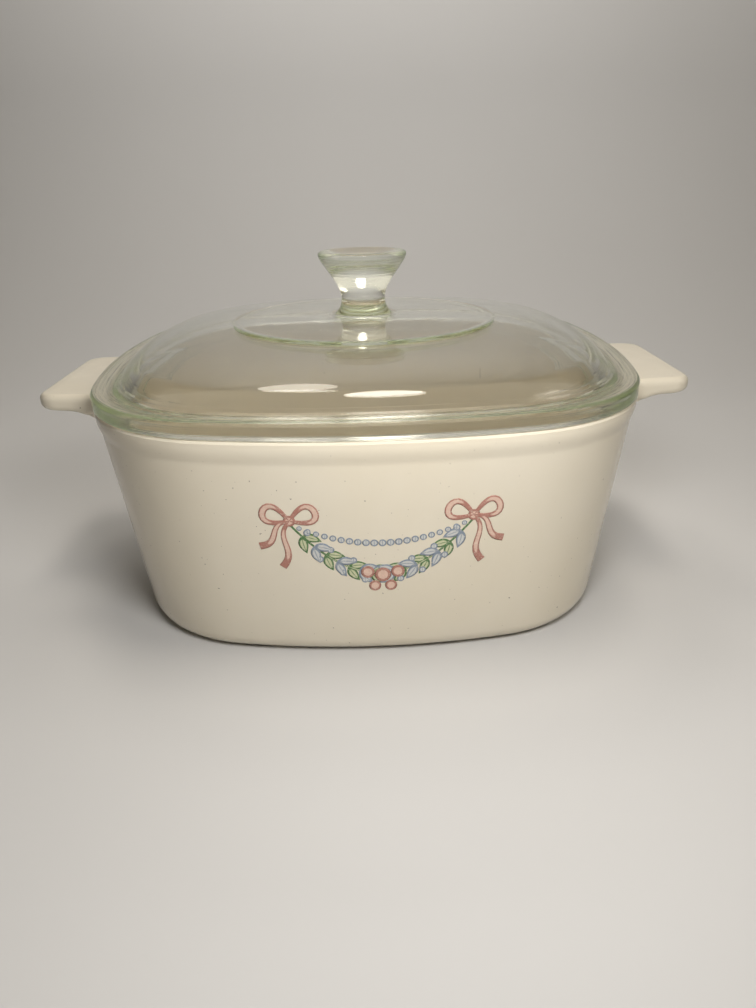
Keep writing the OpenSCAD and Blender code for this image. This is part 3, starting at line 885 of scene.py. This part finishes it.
# %% Ink
GREEN, PALE_GREEN = (0.085, 0.19, 0.065), (0.58, 0.60, 0.38)
BLUE, PALE_BLUE = (0.24, 0.29, 0.36), (0.60, 0.61, 0.60)
PINK, PALE_PINK = (0.44, 0.20, 0.155), (0.74, 0.52, 0.42)
LINE_LOW, LINE_HIGH = 0.32, 0.46
RIB_LOW, RIB_HIGH, RIB_SHARE = 0.05, 0.16, 0.8
WEAR_SCALE, WEAR_LOW, WEAR_HIGH, WEAR_SHARE = 1500, 0.5, 0.75, 0.45
SHEEN_SCALE, SHEEN_LOW, SHEEN_HIGH, SHEEN_GLOSSY, SHEEN_DULL = 300, 0.3, 0.7, 0.22, 0.36


def ink_material(piece, full, wash, with_rib):
    """A pale wash with a full line along the edge of each stroke and, on leaves, one along the middle."""
    material, add, link = new_material(piece.name)
    here = add("TexCoord").outputs["Object"]
    edge = add("Attribute", attribute_name="ink_edge").outputs["Fac"]
    drawn = ramp(add, link, edge, LINE_LOW, LINE_HIGH, 0, 1)
    if with_rib:
        rib = add("Attribute", attribute_name="ink_rib").outputs["Fac"]
        both = add("Math", operation="MAXIMUM")
        link(drawn, both.inputs[0])
        link(ramp(add, link, rib, RIB_LOW, RIB_HIGH, RIB_SHARE, 0), both.inputs[1])
        drawn = both.outputs["Value"]
    worn = ramp(add, link, noise(add, link, here, WEAR_SCALE), WEAR_LOW, WEAR_HIGH, 0, WEAR_SHARE)
    patches = noise(add, link, here, SHEEN_SCALE)
    sheen = ramp(add, link, patches, SHEEN_LOW, SHEEN_HIGH, SHEEN_GLOSSY, SHEEN_DULL)
    enamel = add("BsdfPrincipled")
    fresh = mix_colour(add, link, drawn, wash, full)
    link(mix_colour(add, link, worn, fresh, IVORY), enamel.inputs["Base Color"])
    link(sheen, enamel.inputs["Roughness"])
    link(enamel.outputs["BSDF"], add("OutputMaterial").inputs["Surface"])
    piece.data.materials.append(material)
    print(piece.name, "is finished in enamel")


ink_material(print_green, GREEN, PALE_GREEN, with_rib=True)
ink_material(print_blue, BLUE, PALE_BLUE, with_rib=True)
ink_material(print_pink, PINK, PALE_PINK, with_rib=False)

# %% [markdown]
# The lid is soda-lime glass: clear where it is thin, and a pale bottle green along a thick edge, where
# light travels through centimetres of it. That is absorption inside the glass, so it is a volume and
# not a surface colour. Use leaves the surface dull in faint patches.

# %% Clear pressed glass
GLASS_TINT, GLASS_DENSITY, GLASS_IOR = (0.78, 0.86, 0.68), 12.0, 1.5
DULL_SCALE, DULL_DETAIL, DULL_ROUGH, DULL_LOW, DULL_HIGH, DULLEST = 70, 4, 0.6, 0.45, 0.75, 0.05

clear, add, link = new_material("clear_pressed_glass")
here = add("TexCoord").outputs["Object"]
dulled = noise(add, link, here, DULL_SCALE, DULL_DETAIL, DULL_ROUGH)
glass = add("BsdfPrincipled")
glass.inputs["Base Color"].default_value = (1, 1, 1, 1)
glass.inputs["Transmission Weight"].default_value = 1
glass.inputs["IOR"].default_value = GLASS_IOR
link(ramp(add, link, dulled, DULL_LOW, DULL_HIGH, 0, DULLEST), glass.inputs["Roughness"])

inside = add("VolumeAbsorption")
inside.inputs["Color"].default_value = (*GLASS_TINT, 1)
inside.inputs["Density"].default_value = GLASS_DENSITY
output = add("OutputMaterial")
link(glass.outputs["BSDF"], output.inputs["Surface"])
link(inside.outputs["Volume"], output.inputs["Volume"])
lid.data.materials.append(clear)
print(lid.name, "is finished in", clear.name)

# %% [markdown]
# Pressing leaves the surface a little wavy, and the turned mould leaves fine lines that run round the
# flange and the knob. Lines that fine would take very many rings, so they bend the normal only. They are
# noise in one dimension, along the distance that the lid's points carry, and they leave the dome plain.

# %% Waves and turned lines
WAVE_SCALE, WAVE_DETAIL, WAVE_STRENGTH, WAVE_HEIGHT = 45, 2, 0.08, 0.2 * MM
LINE_SCALE, LINE_HEIGHT, KNOB_LINES = 1100, 0.1 * MM, 0.8
FLANGE_FADE, KNOB_FADE = 3 * MM, 4 * MM

lines = add("TexNoise", noise_dimensions="1D")
lines.inputs["Scale"].default_value = LINE_SCALE
link(add("Attribute", attribute_name="section_way").outputs["Fac"], lines.inputs["W"])
place = add("SeparateXYZ")
link(here, place.inputs["Vector"])
on_flange = ramp(add, link, place.outputs["Z"], flange_top, flange_top + FLANGE_FADE, 1, 0)
on_knob = ramp(add, link, place.outputs["Z"], neck[1], neck[1] + KNOB_FADE, 0, KNOB_LINES)
where = add("Math", operation="ADD")
link(on_flange, where.inputs[0])
link(on_knob, where.inputs[1])
turned_lines = add("Math", operation="MULTIPLY")
link(lines.outputs["Fac"], turned_lines.inputs[0])
link(where.outputs["Value"], turned_lines.inputs[1])
wavy = noise(add, link, here, WAVE_SCALE, WAVE_DETAIL)
waves = bump(add, link, wavy, WAVE_STRENGTH, WAVE_HEIGHT)
link(bump(add, link, turned_lines.outputs["Value"], 1, LINE_HEIGHT, waves), glass.inputs["Normal"])
print("the flange's lines end at a height of", round((flange_top + FLANGE_FADE) / MM, 1), "mm")

# %% [markdown]
# ## Floor and light
# A plain pale floor runs back and sweeps up behind the dish, as a roll of paper does in a studio. It is
# one section, a floor, a quarter round and a wall, carried across.

# %% Floor
SWEEP_FRONT, SWEEP_BACK, SWEEP_RADIUS, SWEEP_TOP, SWEEP_HALF = -1.6, 0.2, 0.25, 1.2, 2.0
SWEEP_POINTS, SWEEP_STRIPS = 24, 8
sweep_turn = np.linspace(-np.pi / 2, 0, SWEEP_POINTS)
sweep = np.concatenate([
    [[SWEEP_FRONT, 0]],
    np.stack([SWEEP_BACK + SWEEP_RADIUS * np.cos(sweep_turn),
              SWEEP_RADIUS * (1 + np.sin(sweep_turn))], -1),
    [[SWEEP_BACK + SWEEP_RADIUS, SWEEP_TOP]]])
across = np.linspace(-SWEEP_HALF, SWEEP_HALF, SWEEP_STRIPS + 1)
sweep_points = np.stack(np.broadcast_arrays(across, sweep[:, :1], sweep[:, 1:]), -1)
index = np.arange(len(sweep) * len(across)).reshape(len(sweep), len(across))
sweep_quads = np.stack([index[:-1, :-1], index[:-1, 1:], index[1:, 1:], index[1:, :-1]], -1)
no_triangles = np.zeros((0, 3), int)
floor = new_mesh("paper_sweep", sweep_points.reshape(-1, 3), sweep_quads.reshape(-1, 4), no_triangles)

# %% [markdown]
# The paper is matt and very slightly cloudy.

# %% Paper
PAPER, PAPER_SHADE = (0.65, 0.645, 0.64), (0.62, 0.615, 0.61)
CLOUD_SCALE, CLOUD_DETAIL, PAPER_ROUGH = 6, 2, 0.9

paper, add, link = new_material("pale_paper")
here = add("TexCoord").outputs["Object"]
clouds = noise(add, link, here, CLOUD_SCALE, CLOUD_DETAIL)
matt = add("BsdfPrincipled")
link(mix_colour(add, link, clouds, PAPER, PAPER_SHADE), matt.inputs["Base Color"])
matt.inputs["Roughness"].default_value = PAPER_ROUGH
link(matt.outputs["BSDF"], add("OutputMaterial").inputs["Surface"])
floor.data.materials.append(paper)
print(floor.name, "is finished in", paper.name)

# %% [markdown]
# The light is that of a room. A small lamp close to the camera leaves the sides darker than the front. One
# wide lamp lights the paper behind the dish, and another the back of the dish. Glass would show these three
# as hard spots, so they are hidden from it. Two lamps in the ceiling lie on the dome as streaks, and one
# more stands on the right. Places and sizes are in metres.

# %% Lamps
WHITE, WARM = (1, 0.98, 0.95), (1, 0.925, 0.81)
BACK_SPREAD = np.radians(80)
MIDDLE, BACKDROP = (0, 0, 0.06), (0.02, 0.6, 0.5)


def soft_lamp(name, at, wide, deep, watts, colour, towards=None):
    """An oval area lamp at a place, turned towards another where that is given, and else facing down."""
    data = bpy.data.lights.new(name, "AREA")
    data.shape = "ELLIPSE"
    data.size, data.size_y, data.energy, data.color = wide, deep, watts, colour
    lamp = bpy.data.objects.new(name, data)
    lamp.location = at
    if towards:
        lamp.rotation_euler = (Vector(towards) - Vector(at)).to_track_quat("-Z", "Y").to_euler()
    lamp.visible_camera = False
    bpy.context.scene.collection.objects.link(lamp)
    print("lamp", name, "has", watts, "W")
    return lamp


near = soft_lamp("near", (0.03, -0.25, 0.23), 0.11, 0.11, 0.57, WHITE, MIDDLE)
behind = soft_lamp("behind", (0.02, 0.12, 0.5), 0.5, 0.3, 0.9, WHITE, BACKDROP)
back_fill = soft_lamp("back_fill", (0, 0.42, 0.5), 0.9, 0.2, 0.4, WHITE, MIDDLE)
back_fill.data.spread = BACK_SPREAD
for lamp in (near, behind, back_fill):
    lamp.visible_glossy = lamp.visible_transmission = False
soft_lamp("right", (0.8, -0.3, 0.6), 0.35, 0.35, 0.9, WARM, MIDDLE)
soft_lamp("ceiling_front", (0.06, -0.05, 1.15), 0.25, 0.46, 2.7, WARM)
soft_lamp("ceiling_back", (-0.15, 0.32, 0.9), 0.18, 0.26, 0.7, WARM)

# %% [markdown]
# Glass shows what is round it more than its own colour, so the world is dim as a lamp, on rays that leave
# a matt surface, and pale on all others. Light is mirrored to and fro inside a solid edge many times, so
# its paths get far more bounces than the usual dozen, after which an edge turns black.

# %% World
AMBIENT, SEEN_IN_GLASS = 0.01, 0.86
WORLD_COLOUR = (1, 0.93, 0.81, 1)
GLASS_BOUNCES = 48

world = bpy.data.worlds.new("room")
world.use_nodes = True
nodes, link = world.node_tree.nodes, world.node_tree.links.new
path, strength = nodes.new("ShaderNodeLightPath"), nodes.new("ShaderNodeMapRange")
link(path.outputs["Is Diffuse Ray"], strength.inputs["Value"])
strength.inputs["To Min"].default_value = SEEN_IN_GLASS
strength.inputs["To Max"].default_value = AMBIENT
link(strength.outputs["Result"], nodes["Background"].inputs["Strength"])
nodes["Background"].inputs["Color"].default_value = WORLD_COLOUR

scene = bpy.context.scene
scene.cycles.max_bounces = GLASS_BOUNCES
scene.cycles.glossy_bounces = scene.cycles.transmission_bounces = GLASS_BOUNCES
scene.world = world
scene.view_settings.view_transform = "Standard"
print("the world is", SEEN_IN_GLASS, "where it is seen and", AMBIENT, "as a lamp")
